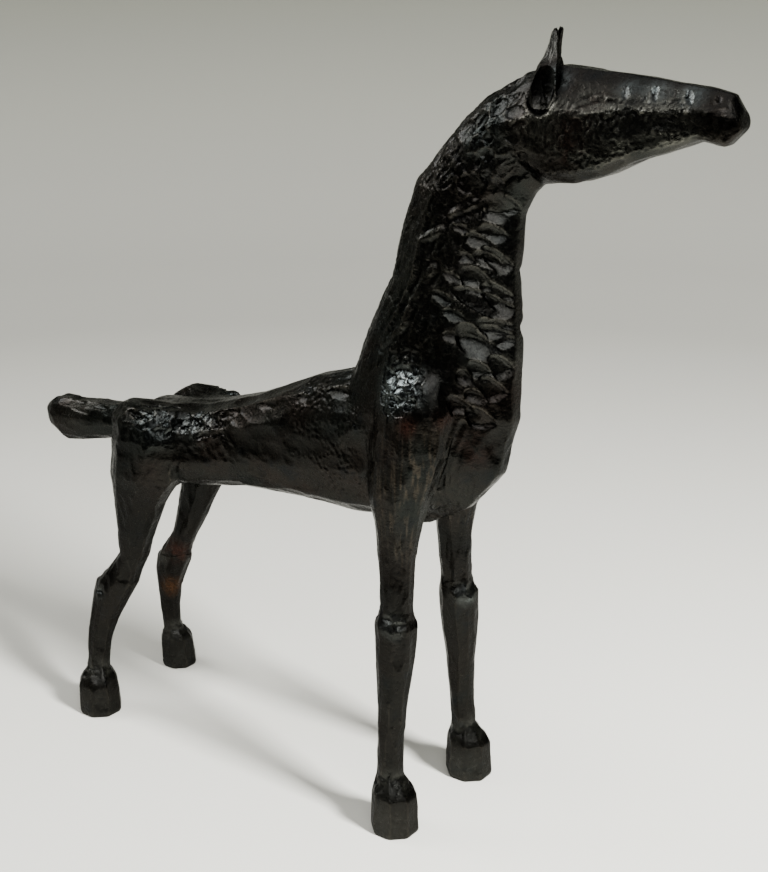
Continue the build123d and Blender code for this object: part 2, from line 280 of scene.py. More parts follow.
class Carver:
    """Cuts tool marks into a dense skin, one after the other, as a gouge does.

    Whatever stands above a cut goes. Places, sizes and depths are in mm.
    """

    def __init__(self, skin):
        self.skin = skin
        self.rest = points_of(skin.data)
        self.points = self.rest.copy()
        self.normals = normals_of(skin.data)
        self.tree = KDTree(len(self.rest))
        for i, point in enumerate(self.rest):
            self.tree.insert(point, i)
        self.tree.balance()

    def places(self):
        """The x, y and z of each point, and how far it faces sideways, from 0 to 1."""
        return (*(self.rest / MM).T, np.abs(self.normals[:, 1]))

    def nearest(self, place):
        """The skin's point nearest to a place, and the way out of the skin there."""
        _, i, _ = self.tree.find(Vector(place) * MM)
        return self.rest[i], self.normals[i]

    def scoop(self, centre, out, along, length, width, depth, deepest=None):
        """One cut, an oval bowl. Its length, width and depth are those it has on flat metal.

        A tool that leans cuts deeper on one side, by no more than deepest, and leaves a steep
        wall there.
        """
        deepest = (deepest or 0.4 * depth) * MM
        depth = depth * MM * settings("casting").tool_depth
        length, width = length / 2 * MM, width / 2 * MM
        out = out / np.linalg.norm(out)
        along = along - out * (along @ out)
        along = along / max(np.linalg.norm(along), 1e-9)
        across = np.cross(out, along)
        found = self.tree.find_range(centre, max(length, width) * 1.35)
        index = np.fromiter((f[1] for f in found), int, len(found))
        offset = self.points[index] - centre
        bowl = 1 - (offset @ along / length) ** 2 - (offset @ across / width) ** 2
        height = offset @ out
        cut = np.clip(depth * bowl + np.minimum(height, deepest), 0, None) * soft_step(bowl, 0, 0.35)
        cut = np.where(height > -6 * depth, cut, 0)
        self.points[index] -= cut[:, None] * out

    def stroke(self, start, end, width, depth, facing):
        """A cut from one place to another that leaves its middle facing a given way."""
        start, end = np.array(start, float), np.array(end, float)
        centre, _ = self.nearest((start + end) / 2)
        length = np.linalg.norm(end - start) * 1.5
        self.scoop(centre, np.array(facing, float), end - start, length, width, depth, deepest=1.7)

    def collar(self, middle, radii, rise, count, size, depth, seed):
        """Cuts in a ring around a leg, at a middle and two radii, each turned upwards by a rise."""
        rng = random.Random(seed)
        for k in range(count):
            angle = (k + rng.uniform(-0.3, 0.3)) * 2 * math.pi / count
            way = np.array([math.cos(angle), math.sin(angle), 0])
            place = np.array(middle) + way * np.array([*radii, 0])
            place = place + np.array([0, 0, rng.uniform(-1.5, 1.5)])
            centre, _ = self.nearest(place)
            out = way + np.array([0, 0, rise + rng.uniform(-0.2, 0.2)])
            across = np.cross(way, (0, 0, 1)) + np.array([0, 0, rng.uniform(-0.3, 0.3)])
            scale = rng.uniform(0.8, 1.25)
            length, width = size * 1.3 * scale, size * scale
            self.scoop(centre, out, across, length, width, depth * rng.uniform(0.7, 1.2))

    def field(
        self, chosen, spacing, width, depth, along=None, stretch=1.0, jitter=0.35, seed=1, facing=None
    ):
        """Many cuts at random over the points chosen, no closer to each other than a spacing.

        along is the way they run, and stretch how much longer than wide they are. facing turns
        them all one way.
        """
        rng = random.Random(seed)
        index = np.nonzero(chosen)[0]
        step = spacing * MM
        grain = settings("casting").grain
        wanted = min(len(index), int(7 * len(index) * (grain / step) ** 2) + 20)
        taken = {}
        for i in rng.sample(list(index), wanted):
            point = self.rest[i]
            key = tuple(int(v) for v in point // step)
            cells = [(key[0] + a, key[1] + b, key[2] + c) for a, b, c in AROUND]
            near = [other for cell in cells for other in taken.get(cell, ())]
            if any(np.sum((point - other) ** 2) < step * step for other in near):
                continue
            taken.setdefault(key, []).append(point)
            way = np.array([rng.uniform(-1, 1) for _ in range(3)])
            if along is not None:
                way = np.array(along, float) + way * jitter
            size = width * rng.uniform(0.75, 1.25)
            out, deepest = self.normals[i], None
            if facing is not None:
                shake = np.array([rng.uniform(-0.15, 0.15) for _ in range(3)])
                out = 0.35 * out + np.array(facing, float) + shake
                deepest = 1.0
            self.scoop(point, out, way, size * stretch, size, depth * rng.uniform(0.6, 1.15), deepest)

    def line(self, path, width, height):
        """A raised line with a groove on both sides. A negative height sinks the line."""
        places = [self.nearest(place)[0] for place in path]
        far = np.full(len(self.rest), 1.0)
        for a, b in zip(places, places[1:]):
            way = b - a
            share = np.clip((self.rest - a) @ way / (way @ way), 0, 1)
            gap = self.rest - (a + share[:, None] * way)
            far = np.minimum(far, np.sqrt(np.sum(gap * gap, axis=1)))
        far = far / (width / 2 * MM)
        rise = np.exp(-(far**2)) - 0.55 * np.exp(-(((far - 2.1) / 0.9) ** 2))
        self.points += self.normals * (rise * height * MM)[:, None]

    def pull(self, centre, reach, way):
        """Draws the skin around a place one way, as a soft lump."""
        far = np.linalg.norm(self.rest / MM - np.array(centre), axis=1)
        self.points += np.array(way) * MM * (1 - soft_step(far, 0, reach))[:, None]

    def finish(self):
        """Gives the skin the points that the cuts have left."""
        set_points(self.skin.data, self.points)


RELIEF_SPREAD = 4  # rounds of averaging that a point's height is measured from


def keep_relief(piece, spread):
    """Stores how far each point stands out from the skin around it, from -1 to 1.

    It is -1 in a deep hollow and 1 on a sharp ridge.
    """
    mesh = piece.data
    points, normals = points_of(mesh), normals_of(mesh)
    ends = np.empty(len(mesh.edges) * 2, np.int64)
    mesh.edges.foreach_get("vertices", ends)
    a, b = ends[0::2], ends[1::2]
    count = np.maximum(np.bincount(a, minlength=len(points)) + np.bincount(b, minlength=len(points)), 1)

    def averaged(values):
        total = np.bincount(a, values[b], len(points)) + np.bincount(b, values[a], len(points))
        return (values + total) / (count + 1)

    smooth = [points[:, k] for k in range(3)]
    for _ in range(spread):
        smooth = [averaged(values) for values in smooth]
    relief = np.sum((points - np.stack(smooth, 1)) * normals, axis=1) / (0.22 * MM)
    attribute = mesh.attributes.new("relief", "FLOAT", "POINT")
    attribute.data.foreach_set("value", np.clip(averaged(relief), -1, 1).astype(np.float32))


# Marks on the right side of the horse, all in mm: start, end, width, depth.
GOUGES = [  # the big cuts down the front of the neck
    ((109.8, -12.3, 332.4), (118.5, -1.3, 322.0), 10.8, 0.9),
    ((106.9, -13, 327.6), (115.3, -6.2, 320.5), 8.4, 0.7),
    ((106.6, -13.2, 319.4), (114.9, -6.1, 310.4), 10.2, 0.9),
    ((100, -17, 315.1), (108.8, -11.9, 308.2), 9.6, 0.7),
    ((104.2, -14.6, 307.5), (114, -6.4, 298.4), 8.4, 0.9),
    ((109.3, -11.7, 308.2), (117, 1.5, 292.7), 8.4, 0.7),
    ((97.5, -18.4, 306.7), (102.3, -15.8, 300.3), 7.2, 0.7),
    ((99.9, -17.4, 299), (109.8, -12.5, 284.3), 13.2, 1.1),
    ((109.4, -12.2, 291.5), (117.9, 0.9, 277.6), 10.8, 0.9),
    ((99.4, -18.6, 288.3), (118, -2.6, 276.3), 10.8, 0.9),
    ((108.2, -14.1, 275.3), (118.5, 0.5, 266.6), 9.6, 0.9),
    ((99.8, -19.7, 270.8), (110.3, -13.2, 254.4), 14.4, 1.1),
    ((112.1, -11.1, 269.1), (118.7, 1.6, 260.8), 8.4, 0.7),
    ((91.4, -20.2, 319.5), (99.4, -17.3, 317.5), 6, 0.7),
    ((79.9, -25, 287.6), (91.1, -23.2, 286.3), 7.2, 0.7),
    ((92.1, -24.3, 268.8), (101.5, -18.8, 265.4), 7.2, 0.7),
    ((101, -19, 268.2), (116, -6.7, 250.7), 14.4, 1.1),
    ((109.1, -13.7, 272.6), (118.7, 0.3, 262), 9.6, 0.7),
    ((99, -20.5, 250.2), (102.8, -18.3, 241.6), 8.4, 0.7),
    ((104.3, -17.2, 254.7), (112.2, -10.9, 243.7), 9.6, 0.8),
    ((102.2, -18.7, 240.9), (109.4, -13.9, 233), 8.4, 0.7),
    ((90, -24, 298), (98, -20, 292), 7.2, 0.6),
    ((92, -23, 280), (100, -18.5, 273), 7.2, 0.6),
    ((111, -10, 256), (119, -2, 243), 10.8, 0.7),
    ((108, -13, 245), (117, -4, 231), 10.8, 0.7),
    ((96, -24, 236), (104, -17, 226), 9.6, 0.6),
    ((104, -17, 230), (113, -8, 217), 10.8, 0.6),
]
MANE_LINES = [  # raised strands on the side of the neck
    [(86.2, -21, 318.5), (75.4, -23.1, 313), (74.1, -24.3, 303.3), (72.7, -25.4, 294.8)]
    + [(66.5, -25, 283.6), (61.6, -25.5, 273.7), (54, -25.6, 260.7)],
    [(101.3, -16.3, 331.6), (90.9, -19.7, 326.5)],
    [(83.5, -23, 301.1), (77.6, -24.9, 292.3), (73.5, -26.4, 284), (69, -28.3, 272)]
    + [(56.2, -26.5, 260.5)],
]
CREASES = [  # sunk lines behind the haunch, over the shoulder and down the chest
    [(-80, -32, 184), (-82, -32, 175), (-86, -31.5, 164)],
    [(60, -30, 257), (74, -27, 259), (88, -24, 254), (98, -21, 243)],
    [(99, -19.5, 226), (94, -20.7, 213), (85, -18.3, 190)],
]
HEAD_CHIPS = [  # short bright cuts across the edge of the nose
    ((173.4, -9.2, 387.5), (174.6, -10.8, 381.5), 5, 0.35),
    ((186.6, -7.4, 388.5), (187.4, -9.4, 381.5), 5.5, 0.4),
    ((201.2, -6.4, 386.5), (203.6, -8.4, 380.5), 6.5, 0.4),
    ((214, -4.6, 386), (215, -6, 381), 4, 0.3),
    ((140.6, -9, 394), (141.4, -10.5, 385), 6, 0.4),
]
LEG_CHIPS = [  # cuts at the knees, the hocks and above the hooves
    ((66, -38.5, 121), (71, -38.5, 117), 6, 0.5),
    ((73, -37, 118), (79, -34, 116.5), 6, 0.5),
    ((64, -38, 28), (71, -40, 27), 6, 0.4),
    ((-158, -30, 88), (-153, -33, 77), 5, 0.5),
    ((-154, -32, 78), (-148, -33, 77), 5, 0.5),
    ((-158, -41, 27), (-150, -42, 26), 5, 0.4),
    ((72, -26, 117), (78, -24, 113), 5, 0.4),
]
HEAD_EDGE = [(131.2, -16.2, 377.1), (145.7, -17.7, 375.4), (153.6, -15, 378.3)]
HEAD_EDGE += [(161.4, -13.2, 381.5), (170.9, -13, 380.5), (182.6, -14.2, 376.9)]
HEAD_EDGE += [(194.6, -12.8, 376.6), (209.7, -10.7, 377.6), (217.2, -8.4, 379)]
BACK_CHIPS = [  # cuts along the edge of the back and the tail
    ((-112, -34, 197), (-101, -33, 198), 6, 0.5),
    ((-86, -30, 198.5), (-76, -26, 200), 7, 0.7),
    ((-60, -24, 203), (-47, -23, 208), 9, 1.1),
    ((-36, -22, 210), (-20, -22, 216), 7, 0.8),
    ((-4, -22.5, 221), (3, -23, 223), 6, 0.6),
    ((16, -23.5, 226.5), (30, -24, 231.5), 9, 0.9),
    ((-207, -5, 186), (-190, -6, 186), 4, 0.5),
    ((-186, -7, 185), (-168, -8, 186), 4.5, 0.6),
    ((-198, -9, 181), (-182, -9.5, 180), 4, 0.4),
]
FACINGS = {  # the ways that the cuts of each place face, on the right of the horse
    "neck": (0.49, -0.73, 0.46),
    "head": (-0.30, -0.84, 0.45),
    "nape": (-0.12, -0.93, 0.28),
    "back": (0.03, -0.66, 0.75),
    "shoulder": (-0.11, -0.74, 0.66),
    "leg": (0.0, -0.62, 0.78),
}


def mirrored(place):
    """A place or a way on the other side of the horse."""
    return (place[0], -place[1], place[2])


class HORSE_OT_skin(bpy.types.Operator):
    """Makes one skin over the castings and cuts the tool marks into it"""

    bl_idname = "bronze_horse.skin"
    bl_label = "Carved Skin"

    def execute(self, context):
        skin = build_skin()
        soften(skin)
        wander(skin)
        carver = Carver(skin)
        cut_coarse_marks(carver)
        for side in (RIGHT, LEFT):
            cut_placed_marks(carver, side)
        carver.pull((-108, 22, 204), 24, (0, 0, -3.4))
        carver.pull((-130, 23, 193), 14, (-11, 0, -1.5))
        cut_fine_marks(carver)
        carver.finish()
        keep_relief(skin, RELIEF_SPREAD)
        keep_patches(skin)
        activate(skin)
        thin_out(skin)
        return {"FINISHED"}


def mane_of(x, z):
    """The points of the mane, which covers the back half of the neck."""
    return (z > 236) & (z < 392) & (x < 97 + (z - 300) * 0.25) & (x > 10) & (x < 128)


def cut_coarse_marks(carver):
    """The broad strokes that shaped each part."""
    x, _, z, out = carver.places()
    up = (0, 0, 1)
    hooves = (z > 4) & (z < 20)
    carver.field(hooves, 8, 13, 0.5, along=up, stretch=1.5, seed=22)
    legs = (z < 175) & (z > 26) & (x > -175) & ((x < -100) | (x > 50))
    carver.field(legs, 7, 7, 0.5, along=up, stretch=3.2, jitter=0.12, seed=21)
    shoulders = (x > 52) & (x < 98) & (z > 130) & (z < 236) & (out > 0.3)
    carver.field(shoulders, 3.6, 3.0, 0.4, along=(0.05, 0, 1), stretch=7.0, jitter=0.08, seed=31)
    barrel = (x < 60) & (x > -135) & (z > 150) & (z < 245)
    carver.field(barrel, 10, 12, 0.6, along=(1, 0, 0.1), stretch=2.0, seed=23)
    chest = (x > 60) & (z > 170) & (z < 240)
    carver.field(chest, 7, 8, 0.5, along=(0.3, 0, -1), stretch=1.8, seed=27)
    tail = (x < -140) & (z > 150)
    carver.field(tail, 7, 9, 0.6, along=(1, 0, 0), stretch=2.4, jitter=0.2, seed=28)
    mane = mane_of(x, z)
    carver.field(mane, 5.5, 4.6, 0.8, along=(0.45, 0, 0.9), stretch=2.8, jitter=0.3, seed=24)
    head = (x > 130) & (z > 340)
    carver.field(head, 9, 10, 0.5, along=(1, 0, 0), stretch=1.8, seed=35)


def cut_placed_marks(carver, side):
    """The marks that have a place of their own, on one side of the horse."""
    x, y, z, _ = carver.places()

    def both(places):
        return list(places) if side == RIGHT else [mirrored(place) for place in places]

    rng = random.Random(side)
    shake = 0 if side == RIGHT else 1.6  # the left side has the same marks, a little off their places
    facings = dict(zip(FACINGS, both(FACINGS.values())))
    carver.collar((72, side * 35.5, 27), (9, 9), 0.9, 7, 8, 0.7, seed=41 + side)
    carver.collar((69.2, side * 29, 119), (9.5, 9.5), 0.8, 6, 8, 0.5, seed=43 + side)
    carver.collar((-157 - side * 3.5, side * 36, 26), (9, 9), 0.9, 7, 8, 0.7, seed=47 + side)
    carver.collar((-145, side * 25, 88), (12.5, 9.5), 0.5, 7, 8, 0.6, seed=49 + side)
    placed = {"neck": GOUGES, "head": HEAD_CHIPS, "back": BACK_CHIPS, "leg": LEG_CHIPS}
    for part, marks in placed.items():
        for start, end, width, depth in marks:
            places = [
                [v + rng.uniform(-shake, shake) for v in place] for place in both((start, end))
            ]
            carver.stroke(*places, width, depth, facings[part])
    shoulder, _ = carver.nearest((72, side * 35, 242))
    facing = np.array(facings["shoulder"])
    carver.scoop(shoulder, facing, np.array((0.1, 0, 1)), 27, 25, 0.5, deepest=5)
    round_it = np.linalg.norm(carver.rest - shoulder, axis=1) < 13 * MM
    carver.field(round_it, 5, 8, 0.16, stretch=1.3, seed=51, facing=facing)
    bevel = (x < -52) & (x > -112) & (z > 190) & (z < 201) & (y * side > 20)
    carver.field(bevel, 5, 7.5, 0.12, stretch=1.4, seed=52, facing=facings["back"])
    nape = (x > 86) & (x < 126) & (z > 338) & (z < 376) & (y * side > 8)
    carver.field(nape, 6, 8, 0.12, stretch=1.5, seed=53, facing=facings["nape"])
    behind_ear, _ = carver.nearest((131, side * 14.5, 385))
    out, along = np.array((0.3, side * 0.95, 0)), np.array((-0.3, 0, 0.95))
    carver.scoop(behind_ear, out, along, 24, 15, 3.0, deepest=3)
    for path in CREASES:
        carver.line(both(path), 2.4, -0.5)
    carver.line(both(HEAD_EDGE), 1.8, 0.35)


def cut_fine_marks(carver):
    """The small punched and filed marks over the rest."""
    x, _, z, out = carver.places()
    carver.field(mane_of(x, z), 1.9, 2.4, 0.42, stretch=1.4, seed=34)
    for path in MANE_LINES:
        carver.line(path, 3.0, 0.7)
        carver.line([mirrored(place) for place in path], 3.0, 0.7)
    cheek = (x > 112) & (x < 214) & (z > 345) & (z < 381) & (out > 0.62)
    carver.field(cheek, 1.9, 2.6, 0.5, along=(0.6, 0, 1), stretch=1.9, jitter=0.7, seed=25)
    flank = (x > -2) & (x < 56) & (z > 178) & (z < 240) & (out > 0.4)
    carver.field(flank, 2.4, 3.0, 0.5, stretch=1.5, seed=26)
    rump = (x < -20) & (x > -132) & (z > 178) & (z < 199) & (out > 0.5)
    carver.field(rump, 4.0, 5.5, 0.5, stretch=1.4, seed=36)


def thin_out(piece):
    """Takes away the faces that flat places don't need."""
    thin = piece.modifiers.new("Thin Out", "DECIMATE")
    thin.ratio = settings("casting").kept_share
    bpy.ops.object.modifier_apply(modifier=thin.name)


def build_skin():
    """One closed skin over all the castings, with the hollow inside left out."""
    copies = [copy_of(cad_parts[name], "skin_part") for name in CASTINGS]
    deselect()
    for piece in copies:
        piece.select_set(True)
    bpy.context.view_layer.objects.active = copies[0]
    bpy.ops.object.join()
    skin = bpy.context.view_layer.objects.active
    skin.name = SKIN
    bpy.ops.object.mode_set(mode="EDIT")
    bpy.ops.mesh.select_all(action="SELECT")
    bpy.ops.mesh.remove_doubles(threshold=1e-6)
    bpy.ops.object.mode_set(mode="OBJECT")
    remesh = skin.modifiers.new("Remesh", "REMESH")
    remesh.mode = "VOXEL"
    remesh.voxel_size = settings("casting").grain * 1
    bpy.ops.object.modifier_apply(modifier=remesh.name)
    return skin


SOFT_PLACES = [  # places on both sides that are rounded: centre and reach in mm, share
    ((74, 26, 236), 46, 1.0),
    ((-100, 22, 204), 30, 0.5),
    ((88, 20, 300), 70, 0.25),
    ((0, 0, 200), 120, 0.15),
    ((69, 30, 75), 60, 0.12),
    ((-150, 28, 75), 66, 0.12),
    ((69, 30, 150), 40, 0.2),
    ((-118, 25, 150), 40, 0.2),
]


def soften(skin):
    """Rounds the facets of the castings, most of all at the shoulders and the haunches."""
    points = points_of(skin.data) / MM
    points[:, 1] = np.abs(points[:, 1])
    amount = np.full(len(points), 0.03)
    for centre, reach, share in SOFT_PLACES:
        far = np.linalg.norm(points - np.array(centre), axis=1)
        amount = np.maximum(amount, share * (1 - soft_step(far, 0.5 * reach, reach)))
    group = skin.vertex_groups.new(name="soft")
    for level in range(1, 51):
        index = np.nonzero(np.round(amount * 50) == level)[0]
        if len(index):
            group.add(index.tolist(), level / 50, "REPLACE")
    smooth = skin.modifiers.new("Soften", "SMOOTH")
    smooth.factor = 0.6
    smooth.iterations = 260
    smooth.vertex_group = group.name
    activate(skin)
    bpy.ops.object.modifier_apply(modifier=smooth.name)
    skin.vertex_groups.clear()


def wander(skin):
    """The slow unevenness of a surface cut by hand."""
    points = points_of(skin.data)
    normals = normals_of(skin.data)
    slow = [noise.noise(Vector(p) * 42.0) for p in points]
    quick = [noise.noise(Vector(p) * 110.0 + Vector((7, 3, 1))) for p in points]
    shift = [a + 0.6 * b for a, b in zip(slow, quick)]
    ground = soft_step(points[:, 2], 1.0 * MM, 6.0 * MM)
    amount = settings("casting").wander * ground * np.array(shift)
    set_points(skin.data, points + normals * amount[:, None])


# ---- Castings cut from the skin -----------------------------------------------------------------
def cut(piece, co, no, inside=None):
    """Cuts a piece with a plane and closes the cut.

    What lies on the side that the normal points to goes. inside tells which points may be cut.
    """
    activate(piece)
    mesh = piece.data
    points = points_of(mesh)
    chosen = np.ones(len(points), bool) if inside is None else inside(points)
    bpy.ops.object.mode_set(mode="EDIT")
    bpy.ops.mesh.select_mode(type="VERT")
    bpy.ops.mesh.select_all(action="DESELECT")
    bpy.ops.object.mode_set(mode="OBJECT")
    mesh.vertices.foreach_set("select", chosen)
    bpy.ops.object.mode_set(mode="EDIT")
    bpy.ops.mesh.select_mode(type="VERT")
    bpy.ops.mesh.bisect(plane_co=co, plane_no=no, use_fill=True, clear_outer=True, clear_inner=False)
    bpy.ops.object.mode_set(mode="OBJECT")


def keep_where(piece, wanted):
    """Keeps only the loose parts whose middle is wanted."""
    activate(piece)
    bpy.ops.object.mode_set(mode="EDIT")
    bpy.ops.mesh.select_all(action="SELECT")
    bpy.ops.mesh.separate(type="LOOSE")
    bpy.ops.object.mode_set(mode="OBJECT")
    kept = []
    for part in list(bpy.context.selected_objects):
        points = points_of(part.data)
        if wanted(points.mean(0)) and len(points) > 50:
            kept.append(part)
        else:
            bpy.data.objects.remove(part)
    if not kept:
        raise RuntimeError("no part of the skin is left")
    deselect()
    for part in kept:
        part.select_set(True)
    bpy.context.view_layer.objects.active = kept[0]
    if len(kept) > 1:
        bpy.ops.object.join()
    return bpy.context.view_layer.objects.active


def joint_plane(node):
    """The plane across the front and crest of a section, and the way along the neck."""
    points = points_of(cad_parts[node].data)
    crest = points[points[:, 2].argmax()]
    front = points[points[:, 0].argmax()]
    way = Vector((crest[2] - front[2], 0, front[0] - crest[0])).normalized()
    return Vector((front[0], 0, front[2])), way


def settle(piece, name, *nodes):
    """Names a finished piece, gives it the patina and lets it stand for its nodes."""
    piece.name = name
    piece.data.name = name
    activate(piece)
    bpy.ops.object.shade_smooth_by_angle(angle=settings("casting").hard_edge)
    piece.data.materials.clear()
    piece.data.materials.append(patina())
    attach(piece, "root")
    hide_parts(*nodes)
    return piece


FORE_JOINT = 150 * MM  # the heights at which the legs join the torso
HIND_JOINT = 142 * MM


class HORSE_OT_neck_and_head(bpy.types.Operator):
    """Cuts the neck and the head from the skin at their joints"""

    bl_idname = "bronze_horse.neck_and_head"
    bl_label = "Neck and Head"

    def execute(self, context):
        skin = bpy.data.objects[SKIN]
        neck_co, neck_way = joint_plane("torso")
        head_co, head_way = joint_plane("neck")
        neck = copy_of(skin, "neck_part")
        cut(neck, neck_co, -neck_way)
        neck = keep_where(neck, lambda middle: middle[0] > 0)
        head = copy_of(neck, "head_part")
        cut(neck, head_co, head_way)
        cut(head, head_co, -head_way)
        settle(neck, "carved_neck", "neck")
        settle(head, "carved_head", "head")
        return {"FINISHED"}


class HORSE_OT_legs(bpy.types.Operator):
    """Cuts the legs from the skin at their joints"""

    bl_idname = "bronze_horse.legs"
    bl_label = "Legs"

    def execute(self, context):
        skin = bpy.data.objects[SKIN]
        for kind, height, front in (("foreleg", FORE_JOINT, True), ("hindleg", HIND_JOINT, False)):
            pair = copy_of(skin, "leg_part")
            cut(pair, Vector((0, 0, height)), Vector((0, 0, 1)))
            for name, side in (("right", RIGHT), ("left", LEFT)):
                leg = keep_where(
                    copy_of(pair, "leg_part"),
                    lambda middle: (middle[0] > 0) == front and middle[1] * side > 0,
                )
                settle(leg, f"carved_{kind}_{name}", f"{kind}_{name}")
            bpy.data.objects.remove(pair)
        return {"FINISHED"}


class HORSE_OT_torso_and_tail(bpy.types.Operator):
    """Cuts the tail from the skin, and leaves the torso"""

    bl_idname = "bronze_horse.torso_and_tail"
    bl_label = "Torso and Tail"

    def execute(self, context):
        skin = bpy.data.objects[SKIN]
        torso = copy_of(skin, "torso_part")
        neck_co, neck_way = joint_plane("torso")
        cut(torso, neck_co, neck_way)
        cut(torso, Vector((0, 0, HIND_JOINT)), Vector((0, 0, -1)), lambda p: p[:, 0] < 0)
        cut(torso, Vector((0, 0, FORE_JOINT)), Vector((0, 0, -1)), lambda p: p[:, 0] > 0)
        tail = copy_of(torso, "tail_part")
        plane = Vector((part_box("torso")[0].x, 0, 0))
        cut(torso, plane, Vector((-1, 0, 0)))
        cut(tail, plane, Vector((1, 0, 0)))
        torso = keep_where(torso, lambda middle: True)
        tail = keep_where(tail, lambda middle: middle[2] > 0.15)
        settle(torso, "carved_torso", "torso")
        settle(tail, "carved_tail", "tail")
        bpy.data.objects.remove(skin)
        return {"FINISHED"}


EAR_CUTS = [  # on the right ear, in mm: centre, way out, way along, length, width, depth
    ((134.8, -15, 388), (0.4, -0.9, 0.02), (0, 0.25, 1), 30, 15, 4.3),
    ((135.6, -8, 400), (-0.2, -0.84, 0.5), (0, 0.3, 1), 16, 4.2, 0.5),
    ((133.2, -8, 400), (0.3, -0.9, 0.25), (0, 0.3, 1), 14, 4.0, 0.4),
    ((135.6, -3.4, 410.4), (0.75, -0.1, 0.66), (0, 1, 0), 9, 7, 1.1),
    ((132.8, -3.4, 410.0), (-0.85, 0, 0.55), (0, 1, 0), 9, 7, 1.0),
    ((128.5, -12, 391), (-0.9, -0.3, 0.2), (0, 0.2, 1), 16, 7, 0.8),
    ((141, -12, 386), (0.9, -0.2, 0.3), (0, 0.2, 1), 12, 6, 0.8),
]


def ear_shift(side, z):
    """How far forward of the right ear the ear of a side stands at a height, in mm."""
    return 0.0 if side == RIGHT else -8.5 + max(0.0, z - 392) * 0.41


class HORSE_OT_ears(bpy.types.Operator):
    """Hollows the ears and brings them to a point"""

    bl_idname = "bronze_horse.ears"
    bl_label = "Ears"

    def execute(self, context):
        for name, side in (("ear_right", RIGHT), ("ear_left", LEFT)):
            ear = copy_of(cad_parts[name], name + "_part")
            activate(ear)
            remesh = ear.modifiers.new("Remesh", "REMESH")
            remesh.mode = "VOXEL"
            remesh.voxel_size = settings("casting").grain * 0.45
            bpy.ops.object.modifier_apply(modifier=remesh.name)
            wander(ear)
            carver = Carver(ear)
            for centre, out, along, length, width, depth in EAR_CUTS:
                x, y, z = centre
                place = (x + ear_shift(side, z), -side * y, z)
                turned = [np.array((v[0], -side * v[1], v[2]), float) for v in (out, along)]
                carver.scoop(carver.nearest(place)[0], *turned, length, width, depth)
            height = carver.rest[:, 2] / MM
            foot = 1 - soft_step(height, 380, 389)
            free = carver.rest[:, 2] > 380 * MM
            carver.field(free, 2.2, 2.6, 0.22, along=(0, 0, 1), stretch=1.8, seed=61)
            carver.points[:, 2] -= foot * 1.2 * MM  # the foot sinks into the head
            carver.finish()
            keep_relief(ear, RELIEF_SPREAD)
            keep_patches(ear)
            thin_out(ear)
            settle(ear, "carved_" + name, name)
        return {"FINISHED"}


# ---- Bronze -------------------------------------------------------------------------------------
def add_node(tree, kind, settings_of=None, links=None, **values):
    """Adds a node. settings_of sets its inputs, links joins other nodes' outputs to them."""
    node = tree.nodes.new(kind)
    for key, value in values.items():
        setattr(node, key, value)
    for key, value in (settings_of or {}).items():
        node.inputs[key].default_value = value
    for key, output in (links or {}).items():
        tree.links.new(output, node.inputs[key])
    return node


